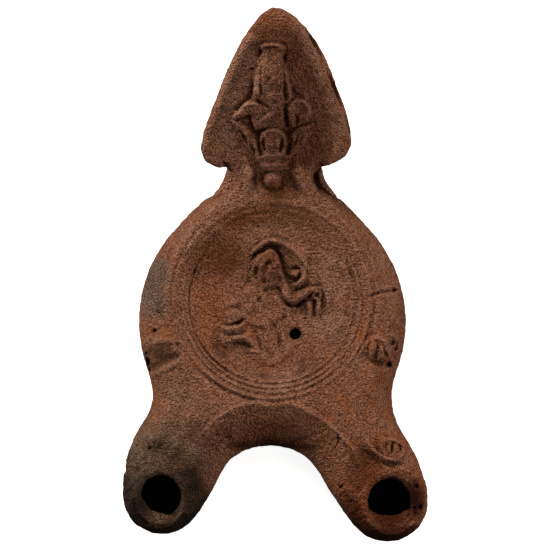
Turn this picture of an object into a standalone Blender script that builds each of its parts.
"""A Roman oil lamp of fired clay with two nozzles, a sunken discus and a leaning handle shield.

The lamp is one hollow piece: a round oil chamber, a wick channel in each nozzle, a small filling hole
in the discus, and at the back a pierced handle that carries the shield. It was pressed in an upper and
a lower mould, and its two solids part at that seam, its widest line. Sizes are in millimetres, and MM
turns them into Blender's metres. The origin is the centre of the flat base, +Y points to the handle
and +Z up.
"""

import math

import bmesh
import bpy
from mathutils import Matrix, Vector
from mathutils.bvhtree import BVHTree

MM = 0.001

# Driving dimensions of the chamber
BODY_RADIUS = 55.0
BASE_RADIUS = 30.0
BASE_STEP = 1.2
SEAM_HEIGHT = 16.5  # the widest line, where the two moulds met
SEAM_GAP = 0.3
DECK_HEIGHT = 33.0
WALL = 4.6

# The discus, a dish framed by rings, sits a little behind the chamber's centre
DISCUS_CENTRE = (0.0, 10.0)
DISCUS_RADIUS = 41.3
DISH_RADIUS = 31.0
DISH_DEPTH = 7.6
DISH_CROWN = 2.2  # how much deeper the dish is in its middle than at its rim
DISCUS_THICKNESS = 4.2
# How far forward the hollow goes, height by height: it stays a wall's thickness behind the gap
HOLLOW_FRONT = ((5.0, -34.0), (7.0, -36.6), (10.8, -43.2), (16.5, -45.8), (21.5, -42.0), (26.2, -35.4), (28.4, -31.2))

# Nozzles: centre x and y, radius of the round end
NOZZLE_ENDS = {"left": (-45.4, -71.0, 16.7), "right": (47.5, -73.3, 17.4)}
CHANNEL_ENDS = {"left": (-45.3, -70.5), "right": (47.0, -72.5)}
# Wick holes: centre x and y, half axes of the rim
WICK_RIMS = {"left": (-46.0, -73.0, 8.3, 10.2), "right": (48.4, -74.4, 8.6, 10.2)}
NOZZLE_START = -30.0  # where the deck begins to fall towards the wick holes
NOZZLE_FALL = 0.085
FILLING_HOLE = (9.6, -4.4)
FILLING_HOLE_RADIUS = 2.5

# Handle
SHIELD_LEAN = math.radians(32.0)
HANDLE_THICKNESS = 8.0
BEND_START = 50.0
BEND_END = 68.0

COLUMNS = 82
RING_COLUMNS = 46
CHAMBER_COLUMNS = 34


# ---------------------------------------------------------------- plan curves


def arc(centre, radius, start, end, count):
    """Points along an arc, with angles in degrees, anticlockwise seen from above."""
    steps = [math.radians(start + (end - start) * k / (count - 1)) for k in range(count)]
    return [(centre[0] + radius * math.cos(a), centre[1] + radius * math.sin(a)) for a in steps]


def lengths_along(points):
    """The running length at each point of a closed line, and at its end."""
    total = [0.0]
    for k, point in enumerate(points):
        total.append(total[-1] + math.dist(point, points[(k + 1) % len(points)]))
    return total


def resample(points, marks):
    """Points of a closed line at the given running lengths, which rise."""
    total = lengths_along(points)
    found = []
    segment = 0
    for mark in marks:
        while segment < len(points) - 1 and total[segment + 1] < mark:
            segment += 1
        share = (mark - total[segment]) / (total[segment + 1] - total[segment])
        a, b = points[segment], points[(segment + 1) % len(points)]
        found.append(tuple(p + (q - p) * share for p, q in zip(a, b)))
    return found


def every_millimetre(points):
    """A closed line resampled at steps of about a millimetre."""
    perimeter = lengths_along(points)[-1]
    count = round(perimeter)
    return resample(points, [perimeter * k / count for k in range(count)])


def blurred(values, sigma):
    """A closed list of numbers, each replaced by a bell-weighted mean of its neighbours."""
    reach = range(-math.ceil(3 * sigma), math.ceil(3 * sigma) + 1)
    weights = [math.exp(-0.5 * (k / sigma) ** 2) for k in reach]
    count = len(values)
    return [
        sum(w * values[(i + k) % count] for k, w in zip(reach, weights)) / sum(weights)
        for i in range(count)
    ]


def rounded(points, sigma):
    """A closed outline at millimetre steps, with its corners softened over sigma millimetres."""
    dense = every_millimetre(points)
    return list(zip(blurred([p[0] for p in dense], sigma), blurred([p[1] for p in dense], sigma)))


def normals(points):
    """Unit normals of a closed anticlockwise line, pointing out of it."""
    found = []
    for k in range(len(points)):
        before, after = points[k - 1], points[(k + 1) % len(points)]
        dx, dy = after[0] - before[0], after[1] - before[1]
        size = math.hypot(dx, dy)
        found.append((dy / size, -dx / size))
    return found


def closer_in_curves(points, count, pull):
    """A closed line of count points that stand closer together in tight curves than in long ones."""
    dense = every_millimetre(points)
    outward = normals(dense)
    turns = [math.dist(outward[k], outward[(k + 1) % len(dense)]) for k in range(len(dense))]
    weight = [0.0]
    for turn in blurred(turns, 5.0):
        weight.append(weight[-1] + 1 + pull * turn)
    marks = []
    k = 0
    for j in range(count):
        target = weight[-1] * j / count
        while weight[k + 1] < target:
            k += 1
        marks.append(k + (target - weight[k]) / (weight[k + 1] - weight[k]))
    step = lengths_along(dense)[-1] / len(dense)
    return resample(dense, [mark * step for mark in marks])


def body_outline(count):
    """The lamp's widest line in plan, without the handle, anticlockwise from the back."""
    left, right = NOZZLE_ENDS["left"], NOZZLE_ENDS["right"]
    points = [(0.0, 54.8), (-14.0, 54.6), (-21.0, 53.6), (-26.4, 51.6), (-31.0, 48.3), (-35.6, 44.2)]
    points += arc((0, 0.8), BODY_RADIUS + 0.3, 131, 204, 22)
    points += [(-49.0, -28.5), (-49.0, -33.5), (-52.6, -40.0), (-57.2, -46.8), (-60.2, -55.0)]
    points += arc(left[:2], left[2], 172, 322, 16)
    points += [(-25.6, -71.0), (-21.6, -62.5)]
    points += arc((-1.0, -77.7), 27.0, 130, 50, 9)
    points += [(19.8, -62.5), (24.8, -71.5)]
    points += arc(right[:2], right[2], 221, 372, 16)
    points += [(60.6, -56.5), (56.0, -48.5), (51.0, -41.0), (49.1, -32.5), (49.4, -27.5)]
    points += arc((0, 0.8), BODY_RADIUS + 0.5, 335, 409, 22)
    points += [(36.2, 44.0), (31.6, 48.2), (27.4, 51.6), (21.6, 53.6), (14.0, 54.6)]
    return closer_in_curves(rounded(points, 2.2), count, 25.0)


# ---------------------------------------------------------------- heights


def smooth(low, high, value):
    """0 below low, 1 above high, and an even S between."""
    t = min(1.0, max(0.0, (value - low) / (high - low)))
    return t * t * (3 - 2 * t)


def deck_height(y):
    """Height of the deck, which falls gently towards the wick holes."""
    return DECK_HEIGHT - NOZZLE_FALL * max(0.0, NOZZLE_START - y)


def dish_height(radius):
    """Height of the discus floor at a distance from its centre."""
    return DECK_HEIGHT - DISH_DEPTH + DISH_CROWN * (radius / DISH_RADIUS) ** 2


def handle_height(y):
    """Height of the middle of the handle's upper face: level at the discus, then rising backwards."""
    slope = math.tan(SHIELD_LEAN)
    length = BEND_END - BEND_START
    t = min(1.0, max(0.0, (y - BEND_START) / length))
    rise = slope * (length * (t**3 - t**4 / 2) + max(0.0, y - BEND_END))
    return DECK_HEIGHT - 0.6 + smooth(44, 53, y) + rise


def handle_tilt(y):
    """Angle of the handle's upper face at y."""
    return math.atan(math.tan(SHIELD_LEAN) * smooth(BEND_START, BEND_END, y))


# ---------------------------------------------------------------- meshes


def mesh_object(name, bm):
    """A mesh object from a mesh in millimetres, with its faces pointing out."""
    bmesh.ops.recalc_face_normals(bm, faces=bm.faces)
    bmesh.ops.triangulate(bm, faces=bm.faces)
    bmesh.ops.scale(bm, vec=(MM, MM, MM), verts=bm.verts)
    mesh = bpy.data.meshes.new(name)
    bm.to_mesh(mesh)
    bm.free()
    obj = bpy.data.objects.new(name, mesh)
    bpy.context.scene.collection.objects.link(obj)
    return obj


def join_rings(bm, low, high):
    """Faces between two rings of vertices, where one may have half as many as the other."""
    if len(low) < len(high):
        low, high = high, low
    count = len(low)
    for k in range(len(high)):
        n = (k + 1) % len(high)
        if count == len(high):
            bm.faces.new((low[k], low[n], high[n], high[k]))
            continue
        a, b, c = low[2 * k], low[2 * k + 1], low[(2 * k + 2) % count]
        bm.faces.new((a, b, high[k]))
        bm.faces.new((b, high[n], high[k]))
        bm.faces.new((b, c, high[n]))


def lofted(name, loops):
    """A closed solid through loops of points, whose first and last loops are closed with a face."""
    bm = bmesh.new()
    rings = [[bm.verts.new(p) for p in loop] for loop in loops]
    bm.faces.new(rings[0])
    bm.faces.new(rings[-1])
    for low, high in zip(rings, rings[1:]):
        join_rings(bm, low, high)
    return mesh_object(name, bm)


def oval(centre, rx, ry, height, count):
    """A level ring of points."""
    steps = [math.tau * k / count for k in range(count)]
    return [(centre[0] + rx * math.cos(a), centre[1] + ry * math.sin(a), height) for a in steps]


# ---------------------------------------------------------------- chamber


def fall_along(share, straight):
    """How far a wall has come down at a share of its way out: a slope blended with an ellipse."""
    return straight * share + (1 - straight) * (1 - math.sqrt(max(0.0, 1 - share * share)))


def shoulder_width(x, y):
    """Width in plan of the rounded slope between the widest line and the deck's edge."""
    if y > -34:
        width = 7.0 + 5.0 * smooth(-34, -4, y)
    else:
        width = 6.2 + 12.8 * (1 - smooth(0, 40, abs(x)))
    gap = math.dist((x, y), DISCUS_CENTRE) - DISCUS_RADIUS
    return max(1.5, min(width, gap - 1.0))


def block():
    """The chamber and nozzles as a solid block: foot, lower wall, rounded shoulder and flat deck."""
    outline = body_outline(COLUMNS)
    outward = normals(outline)
    widths = blurred([shoulder_width(x, y) for x, y in outline], 2.0)
    straights = blurred([0.55 if y < -40 and abs(x) < 22 else 0.3 for x, y in outline], 2.0)
    edge = [(x - nx * w, y - ny * w) for (x, y), (nx, ny), w in zip(outline, outward, widths)]
    polar = [math.atan2(y, x) for x, y in outline]
    foot = [(BASE_RADIUS * math.cos(a), BASE_RADIUS * math.sin(a)) for a in polar]
    loops = [[(x * 0.975, y * 0.975, 0.0) for x, y in foot]]
    for share in (0.0, 0.5, 0.84):
        ring = []
        for (fx, fy), (x, y) in zip(foot, outline):
            fall = fall_along(share, 0.12 + 0.22 * smooth(58, 80, math.hypot(x, y)))
            height = BASE_STEP + (SEAM_HEIGHT - BASE_STEP) * fall
            ring.append((fx + (x - fx) * share, fy + (y - fy) * share, height))
        loops.append(ring)
    loops.append([(x, y, SEAM_HEIGHT) for x, y in outline])
    rise = DECK_HEIGHT - SEAM_HEIGHT
    for share in (0.93, 0.72, 0.4, 0.0):
        ring = []
        for (ex, ey), (x, y), straight in zip(edge, outline, straights):
            height = DECK_HEIGHT - rise * fall_along(share, straight)
            ring.append((ex + (x - ex) * share, ey + (y - ey) * share, height))
        loops.append(ring)
    lamp = lofted("lamp", loops)
    bm = bmesh.new()
    bm.from_mesh(lamp.data)
    cut = bm.verts[:] + bm.edges[:] + bm.faces[:]
    bmesh.ops.bisect_plane(bm, geom=cut, plane_co=(0, NOZZLE_START * MM, 0), plane_no=(0, 1, 0))
    for vert in bm.verts:
        above = vert.co.z - SEAM_HEIGHT * MM
        if above > 0:
            vert.co.z -= above * (DECK_HEIGHT - deck_height(vert.co.y / MM)) / rise
    bm.to_mesh(lamp.data)
    bm.free()
    return lamp


def dish():
    """The space above the discus: its rings and its sunken floor."""
    turned = [
        (44.0, 7.0),
        (42.4, 0.5),
        (41.2, -1.0),
        (40.2, -0.3),
        (39.0, -0.3),
        (38.0, -1.6),
        (37.1, -1.3),
        (36.2, -2.0),
        (35.5, -3.1),
        (34.5, -2.9),
        (33.5, -3.6),
        (32.7, -4.8),
        (31.0, -5.4),
    ]
    loops = [(radius, DECK_HEIGHT + height) for radius, height in turned]
    loops += [(radius, dish_height(radius)) for radius in (22.0, 10.0)]
    return lofted("dish", [oval(DISCUS_CENTRE, r, r, z, RING_COLUMNS) for r, z in loops])


def hollow_front(height):
    """How far forward the hollow may go at a height."""
    for (low, a), (high, b) in zip(HOLLOW_FRONT, HOLLOW_FRONT[1:]):
        if height <= high:
            return a + (b - a) * max(0.0, height - low) / (high - low)
    return HOLLOW_FRONT[-1][1]


def oil_chamber():
    """The hollow inside: round, flat behind the gap between the nozzles, its ceiling going down under the dish."""
    floor = BASE_STEP + WALL - 0.8
    inside = BODY_RADIUS - WALL
    loops = []
    for share in (0.0, 0.5, 0.84, 1.0):
        radius = BASE_RADIUS - WALL + (inside - BASE_RADIUS + WALL) * share
        height = floor + (SEAM_HEIGHT - floor) * fall_along(share, 0.12)
        loops.append(oval((0, 0), radius, radius, height, CHAMBER_COLUMNS))
    ceiling = DECK_HEIGHT - WALL
    for y, radius, height in ((0.6, 49.0, 21.5), (2.4, 45.6, 26.2), (4.8, 41.6, ceiling), (7.5, 37.6, ceiling)):
        loops.append(oval((0, y), radius, radius, height, CHAMBER_COLUMNS))
    loops = [[(x, max(y, hollow_front(z)), z) for x, y, z in loop] for loop in loops]
    for radius in (33.0, 30.0, 20.0, 9.0):
        height = dish_height(radius) - DISCUS_THICKNESS + 1.6 * smooth(30, 33, radius)
        loops.append(oval(DISCUS_CENTRE, radius, radius, height, CHAMBER_COLUMNS // 2))
    return lofted("oil_chamber", loops)


def wick_channel(side):
    """The hollow in a nozzle, from the chamber to below its wick hole."""
    x, y = CHANNEL_ENDS[side]
    start = Vector((x * 0.42, y * 0.36))
    end = Vector((x, y))
    along = (end - start).normalized()
    across = Vector((along.y, -along.x))
    run = (end - start).length
    # distance along, half width, middle height, half height
    stations = [
        (-4.0, 9.0, 17.0, 7.0),
        (14.0, 11.5, 17.4, 8.0),
        (run - 12.0, 12.0, 18.4, 6.8),
        (run - 1.0, 11.6, 18.9, 5.9),
        (run + 6.5, 8.6, 19.0, 4.8),
        (run + 10.2, 4.4, 19.2, 3.0),
    ]
    loops = []
    for distance, width, middle, height in stations:
        loop = []
        for k in range(12):
            a = math.tau * k / 12
            point = start + along * distance + across * width * math.cos(a)
            loop.append((point.x, point.y, middle + height * math.sin(a)))
        loops.append(loop)
    return lofted(f"wick_channel_{side}", loops)


def wick_hole(side):
    """A wick hole that narrows downwards, with its front wall sloping in under the rim."""
    x, y, rx, ry = WICK_RIMS[side]
    # height, scale across, scale along, shift towards the discus
    levels = [(15.5, 0.7, 0.56, 3.6), (21.0, 0.84, 0.74, 2.2), (26.0, 0.95, 0.92, 0.7), (28.6, 1.02, 1.02, 0.0)]
    levels += [(31.0, 1.2, 1.18, 0.0), (42.0, 1.6, 1.5, 0.0)]
    return lofted(f"wick_hole_{side}", [oval((x, y + d), rx * u, ry * v, z, 20) for z, u, v, d in levels])


def filling_hole():
    """The small hole through the discus for pouring in oil."""
    levels = [(15.0, 1.0), (24.8, 1.0), (26.4, 1.4), (36.0, 1.6)]
    radius = FILLING_HOLE_RADIUS
    return lofted("filling_hole", [oval(FILLING_HOLE, radius * s, radius * s, z, 12) for z, s in levels])


# ---------------------------------------------------------------- handle


def handle_outline(count):
    """Neck and shield in plan, anticlockwise from inside the chamber's back."""
    points = [(-22.0, 38.0), (22.0, 38.0), (30.5, 45.0), (22.5, 52.0), (17.6, 58.0), (17.4, 63.2), (22.0, 65.2)]
    points += [(28.0, 67.4), (31.8, 71.5), (32.6, 78.5), (30.4, 88.0), (27.4, 95.4), (22.8, 107.6), (17.2, 118.4)]
    points += [(13.2, 123.4), (7.6, 128.4), (0.8, 131.4), (-4.4, 128.2), (-8.8, 122.8), (-14.6, 112.8)]
    points += [(-20.8, 97.9), (-26.6, 83.1), (-29.8, 73.4), (-28.4, 67.8), (-23.4, 65.0), (-17.4, 63.8)]
    points += [(-14.4, 60.6), (-15.6, 55.2), (-21.0, 50.6), (-30.0, 45.0)]
    return closer_in_curves(rounded(points, 1.5), count, 8.0)


def handle_plate():
    """The neck and the shield: a plate with sloping edges, laid out flat and then bent up."""
    outline = handle_outline(46)
    outward = normals(outline)
    bevels = []
    for x, y in outline:
        right = smooth(2, 14, x) * smooth(74, 88, y)
        tip = smooth(112, 124, y)
        bevels.append(0.5 + 2.1 * smooth(50, 56, y) + 3.4 * max(right, 0.7 * tip))
    bevels = blurred(bevels, 1.0)

    def ring(share, depth, extra=0.0):
        loop = []
        for (x, y), (nx, ny), bevel in zip(outline, outward, bevels):
            inset = bevel * share + extra
            loop.append((x - nx * inset, y - ny * inset, -depth))
        return loop

    thick = HANDLE_THICKNESS
    loops = [ring(0.95, thick), ring(0.4, thick * 0.88), ring(0.0, thick * 0.62), ring(0.1, thick * 0.38)]
    loops += [ring(0.5, thick * 0.12), ring(1.0, 0.0), ring(1.0, 0.8, 2.2)]
    plate = lofted("handle_plate", loops)
    bm = bmesh.new()
    bm.from_mesh(plate.data)
    for y in (52.0, 56.0, 60.0, 64.0, 68.0, 119.0):
        cut = bm.verts[:] + bm.edges[:] + bm.faces[:]
        bmesh.ops.bisect_plane(bm, geom=cut, plane_co=(0, y * MM, 0), plane_no=(0, 1, 0))
    for vert in bm.verts:
        x, y, depth = vert.co / MM
        tip = 2.2 * smooth(118, 125, y) * (1 if depth > -3 else 0)
        vert.co = Vector((x, y, handle_height(y) + depth / math.cos(handle_tilt(y)) + tip)) * MM
    bm.to_mesh(plate.data)
    bm.free()
    return plate


def handle_bar():
    """The lower bar of the pierced handle, which leaves the chamber's back and curves up to the shield."""
    # y and z of the middle line, half width, half thickness
    stations = [
        (44.0, 11.2, 23.0, 4.2),
        (49.5, 10.8, 27.4, 4.2),
        (53.5, 10.5, 24.6, 4.2),
        (58.0, 10.3, 21.6, 4.2),
        (64.0, 10.7, 20.0, 4.2),
        (70.5, 12.9, 18.4, 4.2),
        (76.5, 17.7, 16.2, 4.3),
        (81.0, 24.5, 14.6, 4.4),
        (84.0, 32.5, 14.4, 4.6),
        (86.0, 42.5, 15.4, 5.2),
    ]
    loops = []
    for k, (y, z, width, thick) in enumerate(stations):
        before, after = stations[max(0, k - 1)], stations[min(len(stations) - 1, k + 1)]
        dy, dz = after[0] - before[0], after[1] - before[1]
        size = math.hypot(dy, dz)
        loop = []
        for j in range(12):
            a = math.tau * j / 12
            across = math.copysign(abs(math.cos(a)) ** 0.75, math.cos(a)) * width
            up = math.copysign(abs(math.sin(a)) ** 0.75, math.sin(a)) * thick
            loop.append((1.0 + across, y - up * dz / size, z + up * dy / size))
        loops.append(loop)
    return lofted("handle_bar", loops)


# ---------------------------------------------------------------- relief


class Ground:
    """The surface that relief stands on, looked up from above."""

    def __init__(self, objects):
        """Reads the objects' meshes."""
        bm = bmesh.new()
        for obj in objects:
            bm.from_mesh(obj.data)
        bmesh.ops.triangulate(bm, faces=bm.faces)
        self.tree = BVHTree.FromBMesh(bm)
        bm.free()

    def at(self, x, y):
        """Height and upward normal of the surface at x and y, in millimetres."""
        place, normal, _, _ = self.tree.ray_cast(Vector((x, y, 200)) * MM, Vector((0, 0, -1)))
        if place is None:
            return SEAM_HEIGHT, Vector((0, 0, 1))
        return place.z / MM, normal


class Discus:
    """The discus floor, for relief inside the dish."""

    def at(self, x, y):
        """Height and upward normal of the dish at x and y, in millimetres."""
        return dish_height(math.dist((x, y), DISCUS_CENTRE)), Vector((0, 0, 1))


def boss(name, ground, place, size, turn=0.0, sink=0.0):
    """A rounded lump: half axes along its length, across it and up, turned by degrees about its normal."""
    bm = bmesh.new()
    bmesh.ops.create_uvsphere(bm, u_segments=10, v_segments=5, radius=1.0)
    bmesh.ops.scale(bm, vec=size, verts=bm.verts)
    height, normal = ground.at(*place)
    frame = normal.to_track_quat("Z", "Y").to_matrix().to_4x4()
    spin = Matrix.Rotation(math.radians(turn), 4, "Z")
    move = Matrix.Translation((place[0], place[1], height - sink))
    bmesh.ops.transform(bm, matrix=move @ spin @ frame, verts=bm.verts)
    return mesh_object(name, bm)


def curve_through(points, steps):
    """A smooth open line through points, with steps to each span."""
    ends = [points[0], *points, points[-1]]
    found = []
    for a, b, c, d in zip(ends, ends[1:], ends[2:], ends[3:]):
        for k in range(steps):
            t = k / steps
            found.append(
                tuple(
                    0.5 * (2 * q + (r - p) * t + (2 * p - 5 * q + 4 * r - s) * t**2 + (3 * q - p - 3 * r + s) * t**3)
                    for p, q, r, s in zip(a, b, c, d)
                )
            )
    return [*found, points[-1]]


def rib(name, ground, points, width, height, steps=2, taper=0.35):
    """A rounded ridge along a line in plan, with half width and height, narrowing to its ends."""
    line = curve_through(points, steps)
    loops = []
    for k, (x, y) in enumerate(line):
        before, after = line[max(0, k - 1)], line[min(len(line) - 1, k + 1)]
        dx, dy = after[0] - before[0], after[1] - before[1]
        size = math.hypot(dx, dy)
        share = k / (len(line) - 1)
        swell = taper + (1 - taper) * math.sin(math.pi * share) ** 0.5
        middle = ground.at(x, y)[0]
        loop = []
        for j in range(6):
            a = math.tau * (j + 0.5) / 6
            across = width * swell * math.cos(a)
            loop.append((x + across * dy / size, y - across * dx / size, middle + height * swell * math.sin(a)))
        loops.append(loop)
    return lofted(name, loops)


def shield_relief(ground):
    """On the shield: a bud on a calyx with two long leaves, a swag above them, a cup and a pellet below."""
    pieces = [
        boss("pellet", ground, (0.2, 58.7), (3.4, 3.4, 2.4)),
        boss("cup", ground, (0.9, 66.4), (5.6, 3.8, 2.2)),
        rib("cup_lip", ground, [(-5.6, 67.9), (0.9, 68.4), (7.4, 67.9)], 1.0, 2.6),
        boss("calyx", ground, (0.5, 74.6), (4.6, 5.4, 2.8)),
        rib("bud_cap", ground, [(-5.8, 113.4), (-0.2, 115.2), (5.4, 113.4)], 1.9, 2.4),
    ]
    for side in (-1, 1):
        pieces.append(boss(f"petal_{side}", ground, (0.5 + side * 4.8, 73.6), (2.3, 5.2, 2.2), -14 * side, 0.2))
        leaf = [(0.8 + side * 5.4, 69.4), (0.8 + side * 10.4, 75.5), (0.8 + side * 14.0, 83.0), (0.8 + side * 15.6, 86.8)]
        pieces.append(rib(f"leaf_{side}", ground, leaf, 2.3, 2.0))
        swag = [(0.6 + side * 15.4, 87.0), (0.6 + side * 11.0, 91.6), (0.6 + side * 5.6, 88.6), (0.6 + side * 0.4, 87.4)]
        pieces.append(rib(f"swag_{side}", ground, swag, 2.0, 1.9))
        petal = [(0.2 + side * 6.6, 92.0), (0.0 + side * 5.0, 100.0), (-0.1 + side * 3.4, 109.5)]
        pieces.append(rib(f"bud_petal_{side}", ground, petal, 2.3, 2.0, 2))
        neck = [(1.0 + side * 10.6, 67.0), (1.0 + side * 10.9, 61.0), (1.0 + side * 13.4, 54.5)]
        pieces.append(rib(f"neck_ridge_{side}", ground, neck, 1.7, 1.4, 2))
    pieces.append(boss("bud", ground, (0.0, 99.4), (3.5, 9.6, 3.0)))
    return pieces


def discus_relief(ground):
    """On the discus: the bust of a veiled goddess with a crescent behind her head and a torch at her side."""
    halo = [(13.2 * math.cos(a), 21.1 + 13.2 * math.sin(a)) for a in (math.radians(d) for d in range(15, 170, 22))]
    pieces = [
        rib("halo", ground, halo, 0.9, 1.0, 1),
        boss("veil", ground, (-0.6, 23.2), (6.2, 7.6, 2.6)),
        boss("head", ground, (-0.6, 22.8), (4.3, 5.6, 4.2)),
        boss("chest", ground, (-5.0, 6.4), (10.5, 8.0, 2.4), 8),
        rib("torch", ground, [(12.8, 25.0), (11.4, 19.5), (12.6, 14.0)], 2.4, 2.2, 2),
        rib("arm", ground, [(3.6, 16.0), (8.3, 8.6), (15.0, 13.6), (19.6, 13.4)], 2.5, 3.0),
        rib("sleeve", ground, [(18.4, 13.0), (21.4, 8.6), (18.6, 3.6)], 2.4, 2.0, 2),
        rib("shoulder", ground, [(-19.0, 9.6), (-11.0, 12.8), (-3.0, 14.0), (4.0, 15.8)], 2.9, 3.2, 2),
        rib("wing", ground, [(-18.0, 11.4), (-21.4, 4.0), (-21.6, -3.6)], 2.6, 2.2, 2),
        boss("lap", ground, (2.0, -11.6), (5.4, 4.4, 2.2)),
    ]
    for k, (start, end, y) in enumerate(((-20.0, -11.4, 0.9), (-20.0, -9.6, -3.0), (-18.6, -7.6, -7.2))):
        middle = (start + end) / 2
        fold = [(start, y), (middle, y - 0.9), (end, y)]
        pieces.append(rib(f"fold_{k}", ground, fold, 1.4, 1.5, 2))
    return pieces


def shoulder_relief(ground):
    """Two ribbed lugs at the sides, a ridge above the gap between the nozzles, and volutes beside it."""
    pieces = []
    for side, x, y in (("left", -43.2, -8.6), ("right", 45.4, -9.4)):
        sign = -1 if side == "left" else 1
        turn = 12 * sign
        pieces.append(boss(f"lug_{side}", ground, (x, y), (7.0, 5.6, 3.2), turn, 0.6))
        for k in (-1, 0, 1):
            bar = [(x + 3.7 * k, y + 4.2 - abs(k)), (x + 3.9 * k, y - 4.6 + abs(k))]
            pieces.append(rib(f"lug_bar_{side}_{k}", ground, bar, 1.5, 4.2, 3, 0.6))
    half = [(1.2, -31.9), (10.5, -33.6), (19.6, -38.6), (26.8, -44.6), (31.6, -51.0), (33.8, -60.5)]
    arch = [(-0.98 * x, y) for x, y in reversed(half)] + half
    pieces.append(rib("arch", ground, arch, 1.4, 0.9, 2))
    for side, sign in (("left", -1), ("right", 1)):
        stem = [(sign * 35.4, -43.4), (sign * 39.2, -49.6), (sign * 42.6, -55.2), (sign * 47.4, -60.2)]
        pieces.append(rib(f"volute_stem_{side}", ground, stem, 1.5, 1.1, 2))
        curl = []
        for k in range(9):
            angle = math.radians(250 - 48 * k) if sign > 0 else math.radians(-70 + 48 * k)
            radius = 4.6 - 0.38 * k
            curl.append((sign * 47.8 + radius * math.cos(angle), -48.8 + radius * math.sin(angle)))
        pieces.append(rib(f"volute_curl_{side}", ground, curl, 1.2, 1.1, 1))
    return pieces


# ---------------------------------------------------------------- assembly


def clay():
    """Worn reddish-brown terracotta."""
    material = bpy.data.materials.new("terracotta")
    material.use_nodes = True
    shader = material.node_tree.nodes["Principled BSDF"]
    shader.inputs["Base Color"].default_value = (0.24, 0.10, 0.055, 1.0)
    shader.inputs["Roughness"].default_value = 0.9
    shader.inputs["Metallic"].default_value = 0.0
    return material


def joined(name, pieces):
    """One helper object from several closed shapes, which may run into each other."""
    bm = bmesh.new()
    for piece in pieces:
        bm.from_mesh(piece.data)
        bpy.data.objects.remove(piece)
    mesh = bpy.data.meshes.new(name)
    bm.to_mesh(mesh)
    bm.free()
    obj = bpy.data.objects.new(name, mesh)
    bpy.context.scene.collection.objects.link(obj)
    obj.hide_render = True
    obj.display_type = "WIRE"
    return obj


def combine(target, operation, helper):
    """Joins a helper object to the target, or cuts it out."""
    modifier = target.modifiers.new(helper.name, "BOOLEAN")
    modifier.operation = operation
    modifier.object = helper
    modifier.solver = "EXACT"
    modifier.use_self = True


def beyond_seam(name, side):
    """Everything on one side of the seam, 1 above it and -1 below it, as a cutter."""
    near = SEAM_HEIGHT - side * SEAM_GAP / 2
    corners = [(-90, -120), (90, -120), (90, 160), (-90, 160)]
    return lofted(name, [[(x, y, z) for x, y in corners] for z in sorted((near, near + side * 100))])


def half(name, cutters):
    """One half of the lamp: the block with its handle, less the cutters."""
    solid = block()
    solid.name = name
    combine(solid, "UNION", joined(f"{name}_handle", [handle_plate(), handle_bar()]))
    combine(solid, "DIFFERENCE", joined(f"{name}_hollows", cutters))
    return solid


def main():
    """Builds the lamp's two halves."""
    for obj in list(bpy.data.objects):
        bpy.data.objects.remove(obj)
    measured = [block(), handle_plate()]
    ground = Ground(measured)
    for obj in measured:
        bpy.data.objects.remove(obj)
    channels = [wick_channel(side) for side in NOZZLE_ENDS]
    lower = half("lower_half", [oil_chamber(), *channels, beyond_seam("above", 1)])
    channels = [wick_channel(side) for side in NOZZLE_ENDS] + [wick_hole(side) for side in NOZZLE_ENDS]
    upper = half("upper_half", [oil_chamber(), dish(), filling_hole(), *channels, beyond_seam("below", -1)])
    combine(upper, "UNION", joined("shield_relief", shield_relief(ground)))
    combine(upper, "UNION", joined("discus_relief", discus_relief(Discus())))
    combine(upper, "UNION", joined("shoulder_relief", shoulder_relief(ground)))
    for solid in (lower, upper):
        solid.data.materials.append(clay())
        solid.data.shade_smooth()
        solid.data.set_sharp_from_angle(angle=math.radians(40))


main()
